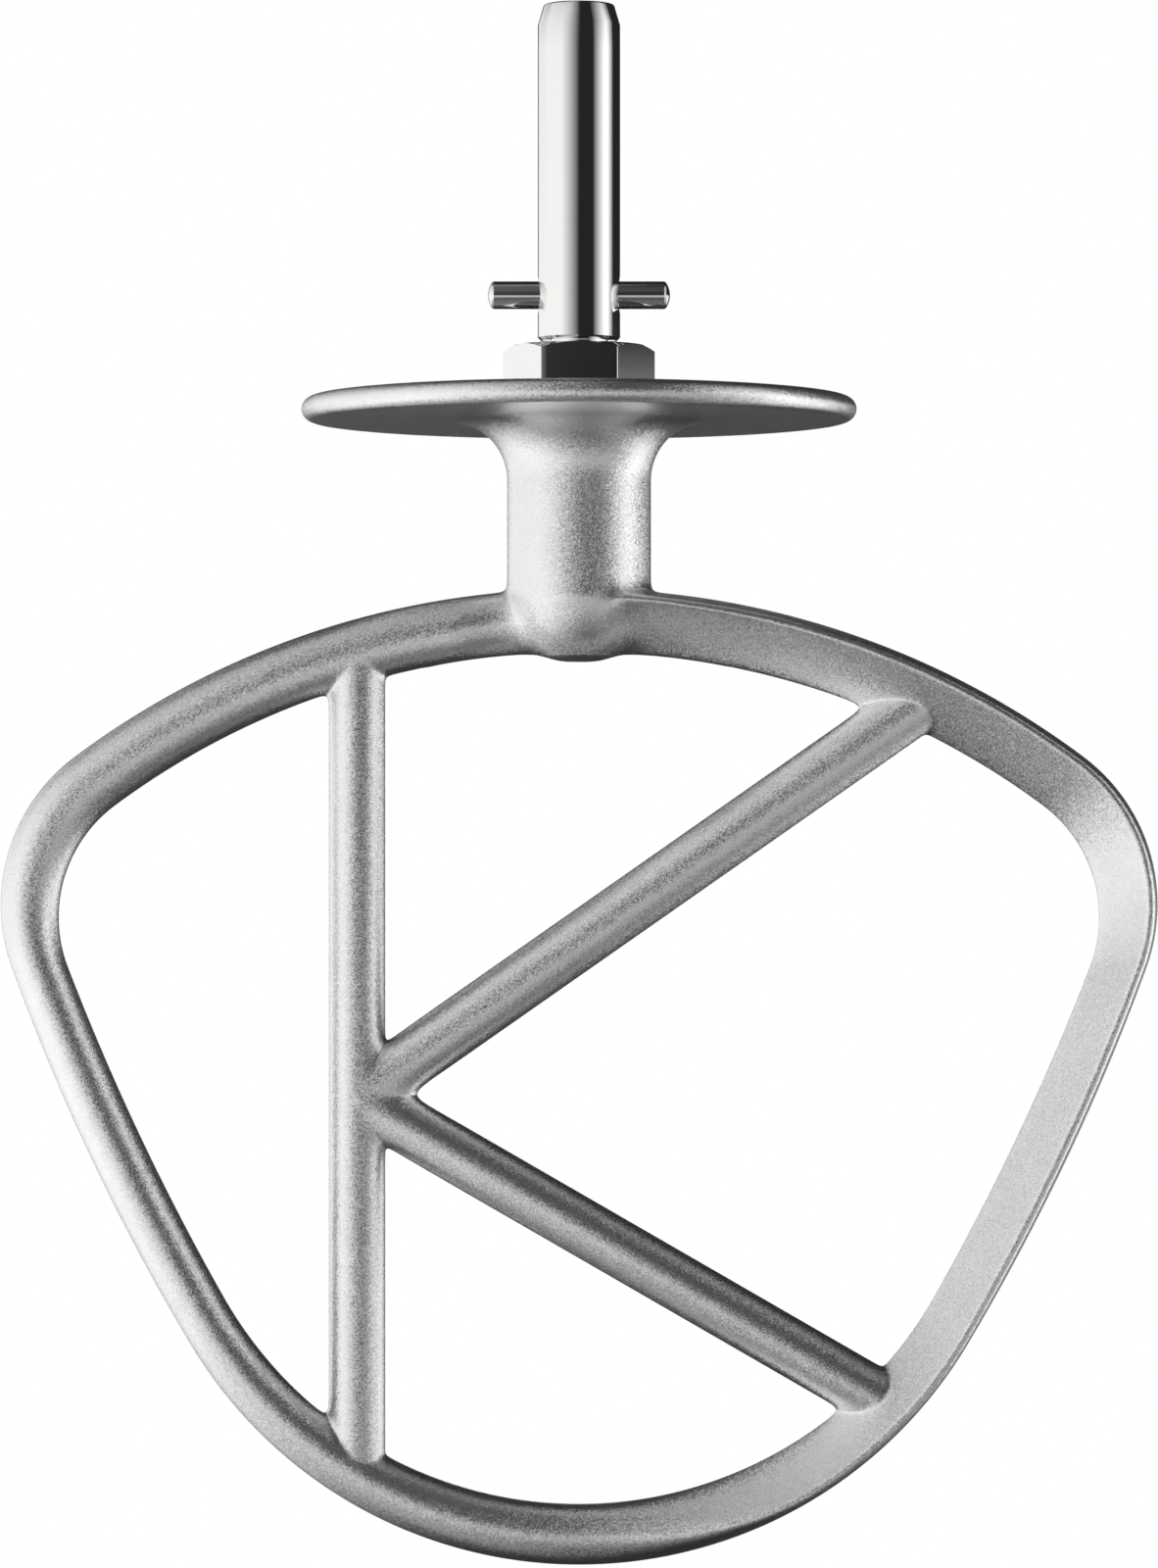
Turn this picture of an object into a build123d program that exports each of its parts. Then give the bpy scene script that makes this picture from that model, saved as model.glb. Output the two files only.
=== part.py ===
from build123d import *
from math import acos, atan2, cos, hypot, pi, radians, sin, sqrt, tan
import os

# Flat beater of a stand mixer, in millimetres.
# The origin is on the drive shaft's axis at the height of the cross pin. +Z runs up the shaft,
# +X along the cross pin, and -Y is the front.

# Drive shaft: a plain round shaft with a threaded stud below its shoulder
shaft_diameter = 9.5
shaft_top = 33.5
shaft_lead_length = 2.4
shaft_lead_depth = 0.7
shaft_edge_round = 0.35
shoulder_drop = 5.3
shoulder_chamfer = 0.4
stud_diameter = 8.0
stud_length = 25.0
stud_chamfer = 0.8
thread_clearance = 0.1

# Cross pin, pressed through the shaft
pin_diameter = 3.2
pin_length = 21.0
pin_dome_height = 0.55
pin_hole_flare = 0.65
pin_hole_flare_depth = 0.22

# Lock nut, a thin hexagon that clamps the beater at the height that is set
nut_across_flats = 15.2
nut_height = 6.0
nut_gap = 0.55
nut_corner_drop = 0.68
nut_bore_chamfer = 0.5

# Splash disc and hub of the casting
disc_diameter = 64.0
disc_thickness = 2.7
hub_diameter = 16.6
hub_flare_radius = 6.8
hub_nose_drop = 30.4
hub_nose_radius = 7.0
bore_depth = 24.0
bore_tip_angle = 118.0
bore_mouth_chamfer = 0.5

# Outer edge of the loop: crown, shoulder, side and bottom arcs, each tangent to the next
loop_drop = 22.0
loop_height = 112.5
loop_width = 133.4
crown_radius = 97.1
shoulder_radius = 21.3
side_radius = 252.0
bottom_radius = 52.2

# Widths of the loop, from its outer edge to its inner edge, and how the inner arcs differ
crown_band = 7.3
side_band = 6.7
bottom_band = 7.0
shoulder_tightening = 5.3
side_flattening = 32.0
bottom_tightening = 5.1

# Section of the loop: a round face on one side and a sloping scraper face on the other
round_depth = 3.5
scraper_depth = 6.2
scraper_edge_radius = 0.5
scraper_wall_draft = 2.5
scraper_inner_edge = 0.8
scraper_runout = 28.0

# Bars inside the loop: one upright and two braces that meet on it
bar_diameter = 6.5
brace_diameter = 6.6
upright_offset = 25.6
node_drop = 58.6
upper_brace_angle = 35.0
lower_brace_angle = 30.0
bar_seat = 0.62

# Places that follow from the sizes above
shaft_radius = shaft_diameter / 2
stud_radius = stud_diameter / 2
bore_radius = stud_radius + thread_clearance
pin_radius = pin_diameter / 2
hub_radius = hub_diameter / 2
disc_radius = disc_diameter / 2
shoulder_z = -shoulder_drop
nut_top = shoulder_z - nut_gap
disc_top = nut_top - nut_height
disc_bottom = disc_top - disc_thickness
nose_z = disc_top - hub_nose_drop
loop_top = disc_top - loop_drop
loop_bottom = loop_top - loop_height
upright_x = -upright_offset
node_z = loop_top - node_drop

os.makedirs("parts", exist_ok=True)


def tangent_outline(half_width, top, crown, shoulder, side, bottom, low):
    """Right half of a loop outline, top to bottom: (centre x, centre z, radius, start, end) arcs."""
    crown_z = top - crown
    turn_x = half_width - shoulder
    turn_z = crown_z + sqrt((crown - shoulder) ** 2 - turn_x**2)
    low_z = bottom + low
    # The side arc holds both the shoulder circle and the bottom circle inside it
    reach_turn = side - shoulder
    reach_low = side - low
    across = hypot(turn_x, turn_z - low_z)
    along = (reach_turn**2 - reach_low**2 + across**2) / (2 * across)
    aside = sqrt(reach_turn**2 - along**2)
    step_x = -turn_x / across
    step_z = (low_z - turn_z) / across
    side_x = turn_x + along * step_x + aside * step_z
    side_z = turn_z + along * step_z - aside * step_x
    at_shoulder = atan2(turn_z - crown_z, turn_x)
    at_side = atan2(turn_z - side_z, turn_x - side_x)
    at_bottom = atan2(low_z - side_z, -side_x)
    return [
        (0, crown_z, crown, pi / 2, at_shoulder),
        (turn_x, turn_z, shoulder, at_shoulder, at_side),
        (side_x, side_z, side, at_side, at_bottom),
        (0, low_z, low, at_bottom, -pi / 2),
    ]


def loop_outline(share):
    """Outline of the loop at a share of its band, from its inner edge (0) to its outer edge (1)."""
    inset = 1 - share
    return tangent_outline(
        loop_width / 2 - side_band * inset,
        loop_top - crown_band * inset,
        crown_radius - crown_band * inset,
        shoulder_radius - shoulder_tightening * inset,
        side_radius + side_flattening * inset,
        loop_bottom + bottom_band * inset,
        bottom_radius - bottom_tightening * inset,
    )


def arc_point(arc, share):
    """Point at a share of an arc's way, as (x, z)."""
    centre_x, centre_z, radius, start, end = arc
    angle = start + (end - start) * share
    return centre_x + radius * cos(angle), centre_z + radius * sin(angle)


def handle(angle):
    """Length of a Bezier handle for a unit arc that turns by an angle."""
    return 4 / 3 * tan(angle / 4)


# Angles along the round face, from the outer edge, at which its three curves meet
round_breaks = [0.0, radians(60), radians(100), pi]
round_turns = [b - a for a, b in zip(round_breaks, round_breaks[1:])]
outer_handle_ratio = handle(round_turns[0]) / handle(round_turns[1])
inner_handle_ratio = handle(round_turns[2]) / handle(round_turns[1])


def round_face(band):
    """Control points of the round face's three curves, outer edge to inner edge, as (across, out)."""
    curves = []
    for start, turn in zip(round_breaks, round_turns):
        end = start + turn
        reach = handle(turn)
        half = band / 2
        first = (half * (1 - cos(start)), round_depth * sin(start))
        last = (half * (1 - cos(end)), round_depth * sin(end))
        leave = (first[0] + reach * half * sin(start), first[1] + reach * round_depth * cos(start))
        arrive = (last[0] - reach * half * sin(end), last[1] - reach * round_depth * cos(end))
        curves.append([first, leave, arrive, last])
    return curves


def scraper_face(band):
    """Control points of the scraper face: its wall, its rounded edge and its slope."""
    draft = radians(scraper_wall_draft)
    edge = scraper_edge_radius
    edge_z = scraper_depth - edge
    edge_x = (edge + edge_z * sin(draft)) / cos(draft)
    # The slope is tangent to the rounded edge and ends a little above the inner edge
    reach = hypot(band - edge_x, scraper_inner_edge - edge_z)
    lean = atan2(scraper_inner_edge - edge_z, band - edge_x) + acos(edge / reach)
    turn = pi - draft - lean
    rounding = handle(turn) * edge
    wall_end = (edge_x - edge * cos(draft), edge_z + edge * sin(draft))
    slope_start = (edge_x + edge * cos(lean), edge_z + edge * sin(lean))
    wall_way = (sin(draft), cos(draft))
    slope_way = (sin(lean), -cos(lean))
    wall_handle = rounding * outer_handle_ratio
    slope_handle = rounding * inner_handle_ratio
    wall = [
        (0.0, 0.0),
        (0.0, edge_z / 3),
        (wall_end[0] - wall_way[0] * wall_handle, wall_end[1] - wall_way[1] * wall_handle),
        wall_end,
    ]
    crest = [
        wall_end,
        (wall_end[0] + wall_way[0] * rounding, wall_end[1] + wall_way[1] * rounding),
        (slope_start[0] - slope_way[0] * rounding, slope_start[1] - slope_way[1] * rounding),
        slope_start,
    ]
    slope = [
        slope_start,
        (slope_start[0] + slope_way[0] * slope_handle, slope_start[1] + slope_way[1] * slope_handle),
        (band, scraper_inner_edge),
        (band, 0.0),
    ]
    return [wall, crest, slope]


def face_curves(band, scraper_share, out):
    """Curves of one face, blended from round (0) to scraper (1), on the front (1) or back (-1)."""
    curves = []
    for round_curve, scraper_curve in zip(round_face(band), scraper_face(band)):
        curve = []
        for (ra, ro), (sa, so) in zip(round_curve, scraper_curve):
            across = ra + (sa - ra) * scraper_share
            curve.append((across, out * (ro + (so - ro) * scraper_share)))
        curves.append(curve)
    return curves


def ease(way):
    """Smooth step from 0 to 1."""
    held = min(max(way, 0.0), 1.0)
    return held * held * (3 - 2 * held)


# Stations along the loop: arc, share of the arc and distance from the middle of the bottom
outer_edge = loop_outline(1)
inner_edge = loop_outline(0)
sections_per_arc = [8, 9, 6, 12]
arc_lengths = [radius * (start - end) for _, _, radius, start, end in outer_edge]
half_length = sum(arc_lengths)
stations = []
passed = 0.0
for arc, (length, count) in enumerate(zip(arc_lengths, sections_per_arc)):
    for step in range(count):
        share = step / count
        stations.append((arc, share, half_length - passed - length * share))
    passed += length
right_side = [(1, *station) for station in stations]
left_side = [(-1, *station) for station in reversed(stations)]
bottom_station = [(1, len(arc_lengths) - 1, 1.0, 0.0)]

# The loop: round in front on the left, a scraper in front on the right, and the other way round behind
with BuildPart() as loop:
    for hand, arc, share, from_bottom in right_side + bottom_station + left_side:
        outer_x, outer_z = arc_point(outer_edge[arc], share)
        inner_x, inner_z = arc_point(inner_edge[arc], share)
        band = hypot(inner_x - outer_x, inner_z - outer_z)
        across_x = hand * (inner_x - outer_x) / band
        across_z = (inner_z - outer_z) / band
        section_plane = Plane(
            origin=(hand * outer_x, 0, outer_z),
            x_dir=(across_x, 0, across_z),
            z_dir=(across_z, 0, -across_x),
        )
        front_share = ease(hand * from_bottom / scraper_runout)
        back_share = ease(-hand * from_bottom / scraper_runout)
        with BuildSketch(section_plane):
            with BuildLine():
                for curve in face_curves(band, front_share, 1):
                    Bezier(*curve)
                for curve in reversed(face_curves(band, back_share, -1)):
                    Bezier(*reversed(curve))
            make_face()
    loft()

# Room for the bars, which run as far as a line inside the loop's band
bar_ends = loop_outline(bar_seat)
bar_reach = loop_width + loop_height
with BuildPart() as bar_room:
    with BuildSketch(Plane.XZ):
        with BuildLine():
            for centre_x, centre_z, radius, start, end in bar_ends:
                middle = (start + end) / 2
                ThreePointArc(*[
                    (centre_x + radius * cos(angle), centre_z + radius * sin(angle))
                    for angle in (start, middle, end)
                ])
            Line(arc_point(bar_ends[-1], 1), arc_point(bar_ends[0], 0))
        make_face()
        mirror(about=Plane.YZ)
    extrude(amount=brace_diameter, both=True)


def bar(diameter, angle, both_ways):
    """A round bar from the node at an angle above level, trimmed to its seat in the loop."""
    way = (cos(radians(angle)), 0, sin(radians(angle)))
    with BuildPart() as one_bar:
        with BuildSketch(Plane(origin=(upright_x, 0, node_z), x_dir=(0, 1, 0), z_dir=way)):
            Circle(diameter / 2)
        extrude(amount=bar_reach, both=both_ways)
        add(bar_room.part, mode=Mode.INTERSECT)
    return one_bar.part


upright = bar(bar_diameter, 90, both_ways=True)
upper_brace = bar(brace_diameter, upper_brace_angle, both_ways=False)
lower_brace = bar(brace_diameter, -lower_brace_angle, both_ways=False)

# The casting: splash disc and hub turned in one, with the loop and its bars
with BuildPart() as beater_casting:
    with BuildSketch(Plane.XZ):
        with BuildLine():
            rim = disc_thickness / 2
            Polyline((0, nose_z), (0, disc_top), (disc_radius - rim, disc_top))
            ThreePointArc(
                (disc_radius - rim, disc_top),
                (disc_radius, disc_top - rim),
                (disc_radius - rim, disc_bottom),
            )
            Line((disc_radius - rim, disc_bottom), (hub_radius + hub_flare_radius, disc_bottom))
            flare_slant = hub_flare_radius * (1 - sqrt(0.5))
            ThreePointArc(
                (hub_radius + hub_flare_radius, disc_bottom),
                (hub_radius + flare_slant, disc_bottom - flare_slant),
                (hub_radius, disc_bottom - hub_flare_radius),
            )
            Line((hub_radius, disc_bottom - hub_flare_radius), (hub_radius, nose_z + hub_nose_radius))
            nose_slant = hub_nose_radius * (1 - sqrt(0.5))
            ThreePointArc(
                (hub_radius, nose_z + hub_nose_radius),
                (hub_radius - nose_slant, nose_z + nose_slant),
                (hub_radius - hub_nose_radius, nose_z),
            )
            Line((hub_radius - hub_nose_radius, nose_z), (0, nose_z))
        make_face()
    revolve(axis=Axis.Z)
    add(loop.part)
    add(upright)
    add(upper_brace)
    add(lower_brace)
    # Blind threaded bore for the stud, drawn at its crest diameter
    with BuildSketch(Plane.XZ):
        tip_drop = bore_radius / tan(radians(bore_tip_angle / 2))
        with BuildLine():
            Polyline(
                (0, disc_top),
                (bore_radius + bore_mouth_chamfer, disc_top),
                (bore_radius, disc_top - bore_mouth_chamfer),
                (bore_radius, disc_top - bore_depth),
                (0, disc_top - bore_depth - tip_drop),
                close=True,
            )
        make_face()
    revolve(axis=Axis.Z, mode=Mode.SUBTRACT)

beater_casting.part.label = "beater_casting"
export_step(beater_casting.part, "parts/beater_casting.step")

# Drive shaft, turned with its stud, with a flared cross hole
with BuildPart() as drive_shaft:
    with BuildSketch(Plane.XZ):
        with BuildLine():
            Polyline(
                (0, shoulder_z - stud_length),
                (stud_radius - stud_chamfer, shoulder_z - stud_length),
                (stud_radius, shoulder_z - stud_length + stud_chamfer),
                (stud_radius, shoulder_z),
                (shaft_radius - shoulder_chamfer, shoulder_z),
                (shaft_radius, shoulder_z + shoulder_chamfer),
                (shaft_radius, shaft_top - shaft_lead_length),
                (shaft_radius - shaft_lead_depth, shaft_top),
                (0, shaft_top),
                close=True,
            )
        make_face()
    revolve(axis=Axis.Z)
    fillet(drive_shaft.faces().sort_by(Axis.Z)[-1].edges(), radius=shaft_edge_round)
    with BuildSketch(Plane.XZ):
        with BuildLine():
            Polyline(
                (0, 0),
                (0, pin_radius),
                (shaft_radius - pin_hole_flare_depth, pin_radius),
                (shaft_radius, pin_radius + pin_hole_flare),
                (shaft_radius + pin_hole_flare_depth, pin_radius + 2 * pin_hole_flare),
                (shaft_radius + pin_hole_flare_depth, 0),
                close=True,
            )
        make_face()
        mirror(about=Plane.YZ)
    revolve(axis=Axis.X, mode=Mode.SUBTRACT)

drive_shaft.part.label = "drive_shaft"
export_step(drive_shaft.part, "parts/drive_shaft.step")

# Cross pin with domed ends
with BuildPart() as drive_pin:
    with BuildSketch(Plane.XZ):
        dome_radius = (pin_radius**2 + pin_dome_height**2) / (2 * pin_dome_height)
        dome_half = atan2(pin_radius, dome_radius - pin_dome_height) / 2
        pin_end = pin_length / 2
        pin_flank = pin_end - pin_dome_height
        with BuildLine():
            Line((0, 0), (0, pin_radius))
            Line((0, pin_radius), (pin_flank, pin_radius))
            ThreePointArc(
                (pin_flank, pin_radius),
                (pin_end - dome_radius * (1 - cos(dome_half)), dome_radius * sin(dome_half)),
                (pin_end, 0),
            )
            Line((pin_end, 0), (0, 0))
        make_face()
        mirror(about=Plane.YZ)
    revolve(axis=Axis.X)

drive_pin.part.label = "drive_pin"
export_step(drive_pin.part, "parts/drive_pin.step")

# Lock nut: a hexagon with its corners turned off at both ends
with BuildPart() as lock_nut:
    with BuildSketch(Plane.XY.offset(disc_top)):
        RegularPolygon(radius=nut_across_flats / 2, side_count=6, major_radius=False)
    extrude(amount=nut_height)
    with BuildSketch(Plane.XZ):
        nut_corner_radius = nut_across_flats / sqrt(3)
        nut_bore_mouth = bore_radius + nut_bore_chamfer
        with BuildLine():
            Polyline(
                (bore_radius, disc_top + nut_bore_chamfer),
                (nut_bore_mouth, disc_top),
                (nut_across_flats / 2, disc_top),
                (nut_corner_radius, disc_top + nut_corner_drop),
                (nut_corner_radius, nut_top - nut_corner_drop),
                (nut_across_flats / 2, nut_top),
                (nut_bore_mouth, nut_top),
                (bore_radius, nut_top - nut_bore_chamfer),
                close=True,
            )
        make_face()
    revolve(axis=Axis.Z, mode=Mode.INTERSECT)

lock_nut.part.label = "lock_nut"
export_step(lock_nut.part, "parts/lock_nut.step")
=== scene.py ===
"""Finishes and fine form of a stand mixer flat beater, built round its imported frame.

The frame gives the solids, their bodies and their places in metres. The casting is meshed again
from the same sizes as its solid, with the cast fillets where its bars, loop and hub run together.
The bright pieces are turned again with their fine edges, and the stud gets its thread.
"""

import logging
import math
from collections.abc import Iterator
from contextlib import contextmanager
from dataclasses import dataclass, field
from enum import Enum

import bmesh
import bpy
import numpy as np
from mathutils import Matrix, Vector
from mathutils.bvhtree import BVHTree

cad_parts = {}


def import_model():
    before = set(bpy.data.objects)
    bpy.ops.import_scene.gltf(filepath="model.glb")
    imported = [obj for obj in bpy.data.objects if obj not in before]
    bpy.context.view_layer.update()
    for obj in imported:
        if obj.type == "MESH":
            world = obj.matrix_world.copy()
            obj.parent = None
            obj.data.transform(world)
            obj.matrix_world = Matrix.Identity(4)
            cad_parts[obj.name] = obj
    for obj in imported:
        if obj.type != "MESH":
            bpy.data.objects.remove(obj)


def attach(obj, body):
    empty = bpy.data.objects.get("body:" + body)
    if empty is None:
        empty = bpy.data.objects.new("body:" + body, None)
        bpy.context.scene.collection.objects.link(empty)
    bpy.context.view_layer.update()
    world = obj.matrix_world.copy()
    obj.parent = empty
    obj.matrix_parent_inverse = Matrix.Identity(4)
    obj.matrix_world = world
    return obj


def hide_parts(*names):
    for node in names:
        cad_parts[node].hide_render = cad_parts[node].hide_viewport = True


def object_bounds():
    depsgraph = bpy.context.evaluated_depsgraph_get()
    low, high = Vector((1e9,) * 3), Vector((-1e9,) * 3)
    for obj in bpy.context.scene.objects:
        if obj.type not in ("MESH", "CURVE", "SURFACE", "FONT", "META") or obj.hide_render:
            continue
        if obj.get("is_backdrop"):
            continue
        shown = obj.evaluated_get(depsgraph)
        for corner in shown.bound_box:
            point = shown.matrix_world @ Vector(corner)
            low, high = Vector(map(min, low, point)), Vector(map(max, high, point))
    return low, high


MM = 0.001
FRONT = np.array([0.0, -1.0, 0.0])
TINY = 1e-9

log = logging.getLogger("flat_beater")

Arc = tuple[float, float, float, float, float]
Face = tuple[int, ...]


class Combine(Enum):
    """How one closed mesh is combined with another."""

    UNION = "UNION"
    CUT = "DIFFERENCE"


class TurnAxis(Enum):
    """Axis that a turned piece spins about, as the columns of radius, radius and axis."""

    ALONG_X = (1, 2, 0)
    ALONG_Z = (0, 1, 2)


class Slot(Enum):
    """Names of the material slots."""

    CAST = "cast_metal"
    BRIGHT = "bright_steel"


def link_object(name: str, mesh: bpy.types.Mesh) -> bpy.types.Object:
    """Makes an object of a mesh and links it to the scene."""
    made = bpy.data.objects.new(name, mesh)
    bpy.context.scene.collection.objects.link(made)
    return made


@contextmanager
def editing(mesh: bpy.types.Mesh) -> Iterator[bmesh.types.BMesh]:
    """Opens a mesh for editing and writes it back."""
    work = bmesh.new()
    work.from_mesh(mesh)
    yield work
    work.to_mesh(mesh)
    work.free()


def settle_modifiers(piece: bpy.types.Object) -> None:
    """Turns a piece with its modifiers into a plain mesh."""
    settled = piece.evaluated_get(bpy.context.evaluated_depsgraph_get())
    mesh = bpy.data.meshes.new_from_object(settled)
    piece.modifiers.clear()
    piece.data = mesh


def coat(piece: bpy.types.Object, finish: bpy.types.Material) -> None:
    """Gives a piece one finish all over."""
    piece.data.materials.clear()
    piece.data.materials.append(finish)


@dataclass
class Shell:
    """A closed surface, as points in millimetres and faces of point numbers."""

    points: np.ndarray
    faces: list[Face]

    def tree(self) -> BVHTree:
        """Search tree over the faces, in millimetres."""
        return BVHTree.FromPolygons([Vector(p) for p in self.points], self.faces)

    def to_object(self, name: str) -> bpy.types.Object:
        """Makes a mesh object in metres with its faces outward.

        Args:
            name: Name of the object and its mesh.

        Returns:
            The object, linked to the scene.
        """
        mesh = bpy.data.meshes.new(name)
        mesh.from_pydata((self.points * MM).tolist(), [], self.faces)
        with editing(mesh) as work:
            bmesh.ops.recalc_face_normals(work, faces=work.faces)
        return link_object(name, mesh)


def grid_faces(count: int, around: int, closed: bool) -> list[Face]:
    """Faces between rings of points, from the last ring to the first as well where they close."""
    faces: list[Face] = []
    for row in range(count if closed else count - 1):
        low = row * around
        high = (row + 1) % count * around
        for col in range(around):
            after = (col + 1) % around
            faces.append((low + col, low + after, high + after, high + col))
    return faces


def tube_shell(rings: np.ndarray) -> Shell:
    """Closes a tube through rings of points, with a face over each end.

    Args:
        rings: Points in millimetres, as rings by points by three.

    Returns:
        The closed shell.
    """
    count, around = rings.shape[:2]
    faces = grid_faces(count, around, closed=False)
    faces.append(tuple(range(around)))
    faces.append(tuple((count - 1) * around + col for col in range(around)))
    return Shell(rings.reshape(-1, 3), faces)


def ring_shell(sections: np.ndarray) -> Shell:
    """Closes a ring whose section is a closed outline.

    Args:
        sections: Points in millimetres, as sections round the ring by points by three.

    Returns:
        The closed shell.
    """
    count, around = sections.shape[:2]
    return Shell(sections.reshape(-1, 3), grid_faces(count, around, closed=True))


def turned_shell(profile: list[tuple[float, float]], axis: TurnAxis, segments: int) -> Shell:
    """Turns a profile that starts and ends on the axis.

    Args:
        profile: Points as (radius, place along the axis), in millimetres.
        axis: Axis to turn about.
        segments: Steps in a full turn.

    Returns:
        The closed shell.
    """
    angles = np.arange(segments) * (2 * math.pi / segments)
    first, second, along = axis.value
    points = np.zeros((2 + (len(profile) - 2) * segments, 3))
    points[0, along] = profile[0][1]
    points[-1, along] = profile[-1][1]
    for row, (radius, place) in enumerate(profile[1:-1]):
        ring = points[1 + row * segments : 1 + (row + 1) * segments]
        ring[:, first] = radius * np.cos(angles)
        ring[:, second] = radius * np.sin(angles)
        ring[:, along] = place
    faces: list[Face] = []
    last = len(points) - 1
    for col in range(segments):
        after = (col + 1) % segments
        faces.append((0, 1 + after, 1 + col))
        faces.append((last, last - segments + col, last - segments + after))
        for row in range(len(profile) - 3):
            low = 1 + row * segments
            faces.append((low + col, low + after, low + segments + after, low + segments + col))
    return Shell(points, faces)


def arc_profile(
    centre: tuple[float, float], radius: float, start: float, end: float, steps: int
) -> list[tuple[float, float]]:
    """Points of a profile along an arc.

    Args:
        centre: Centre as (radius from the axis, place along it).
        radius: Radius of the arc.
        start: First angle in degrees, from the outward direction.
        end: Last angle in degrees.
        steps: Number of steps along the arc.

    Returns:
        Points as (radius, place), both ends included.
    """
    angles = np.radians(np.linspace(start, end, steps + 1))
    return [(centre[0] + radius * math.cos(a), centre[1] + radius * math.sin(a)) for a in angles]


def line_profile(
    start: tuple[float, float], end: tuple[float, float], steps: int
) -> list[tuple[float, float]]:
    """Points between two profile points, both left out."""
    shares = [step / steps for step in range(1, steps)]
    return [(start[0] + (end[0] - start[0]) * s, start[1] + (end[1] - start[1]) * s) for s in shares]


def combine(base: bpy.types.Object, tool: bpy.types.Object, how: Combine) -> None:
    """Combines one closed mesh object with another, which is used up.

    Args:
        base: Object that keeps the result.
        tool: Object that is joined or cut away.
        how: Whether it is joined or cut away.
    """
    modifier = base.modifiers.new("combine", "BOOLEAN")
    modifier.operation = how.value
    modifier.solver = "MANIFOLD"
    modifier.object = tool
    settle_modifiers(base)
    bpy.data.objects.remove(tool)


def shade_smooth(piece: bpy.types.Object, crease: float) -> None:
    """Shades a piece smooth, with edges sharp past an angle in degrees."""
    piece.data.shade_smooth()
    piece.data.set_sharp_from_angle(angle=math.radians(crease))


def ease(way: float | np.ndarray) -> float | np.ndarray:
    """Smooth step from 0 to 1."""
    held = np.clip(way, 0.0, 1.0)
    return held * held * (3 - 2 * held)


@dataclass(frozen=True)
class Grading:
    """How closely a shape is meshed: fine near its joints, coarse away from them."""

    fine: float = 0.3
    coarse: float = 1.6
    reach: float = 6.0

    def places(self, start: float, end: float, marks: list[float]) -> np.ndarray:
        """Places along a line, close together near its marks.

        Args:
            start: First place.
            end: Last place.
            marks: Places of the joints.

        Returns:
            The places, both ends included.
        """
        found = [start]
        while found[-1] < end:
            near = min(abs(found[-1] - mark) for mark in marks)
            found.append(found[-1] + self.fine + (self.coarse - self.fine) * ease(near / self.reach - 1))
        return start + (np.array(found) - start) * (end - start) / (found[-1] - start)


@dataclass(frozen=True)
class NodeWeb:
    """A node tree whose nodes are added with their settings and links at once."""

    tree: bpy.types.NodeTree

    def add(
        self, kind: str, wires: dict[str | int, object] | None = None, **settings: object
    ) -> bpy.types.Node:
        """Adds a node.

        Args:
            kind: Type of the node.
            wires: For an input, by name or number, the socket that feeds it or its value.
            settings: Properties of the node.

        Returns:
            The node.
        """
        node = self.tree.nodes.new(kind)
        for name, value in settings.items():
            setattr(node, name, value)
        for name, value in (wires or {}).items():
            self.feed(node.inputs[name], value)
        return node

    def feed(self, socket: bpy.types.NodeSocket, value: object) -> None:
        """Links a socket from another one, or sets its value."""
        if isinstance(value, bpy.types.NodeSocket):
            self.tree.links.new(value, socket)
        else:
            socket.default_value = value

    def math(self, operation: str, *values: bpy.types.NodeSocket | float) -> bpy.types.NodeSocket:
        """Result of a math node."""
        node = self.add("ShaderNodeMath", dict(enumerate(values)), operation=operation)
        return node.outputs["Value"]

    def vector(self, operation: str, *values: object) -> bpy.types.NodeSocket:
        """Result of a vector math node."""
        node = self.add("ShaderNodeVectorMath", dict(enumerate(values)), operation=operation)
        return node.outputs["Vector"]


@dataclass(frozen=True)
class Metal:
    """A bare metal whose tone and gloss follow the shared surface grain.

    The shade and the first roughness belong to the grain's dark end.
    """

    name: str
    shade: tuple[float, float, float]
    pale: tuple[float, float, float]
    roughness: tuple[float, float]
    grain_scale: float
    cloud_scale: float
    stretch: tuple[float, float, float] = (1.0, 1.0, 1.0)

    def material(self, grain: bpy.types.NodeTree) -> bpy.types.Material:
        """Builds the material.

        Args:
            grain: Node group that gives a tone and a height.

        Returns:
            The material.
        """
        made = bpy.data.materials.new(self.name)
        made.use_nodes = True
        web = NodeWeb(made.node_tree)
        scales = {"Grain Scale": self.grain_scale, "Cloud Scale": self.cloud_scale, "Stretch": self.stretch}
        surface = web.add("ShaderNodeGroup", scales, node_tree=grain)
        tone = surface.outputs["Tone"]
        tones = {"A": (*self.shade, 1.0), "B": (*self.pale, 1.0), "Factor": tone}
        colour = web.add("ShaderNodeMix", tones, data_type="RGBA")
        dull, bright = self.roughness
        gloss = web.add("ShaderNodeMapRange", {"To Min": dull, "To Max": bright, "Value": tone})
        shader = made.node_tree.nodes["Principled BSDF"]
        web.feed(shader.inputs["Metallic"], 1.0)
        web.feed(shader.inputs["Base Color"], colour.outputs["Result"])
        web.feed(shader.inputs["Roughness"], gloss.outputs["Result"])
        web.feed(shader.inputs["Normal"], self.normal(web, surface.outputs["Height"]))
        return made

    def normal(self, web: NodeWeb, height: bpy.types.NodeSocket) -> bpy.types.NodeSocket:
        """Normal of the finish, given the grain's height."""
        raise NotImplementedError


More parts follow.
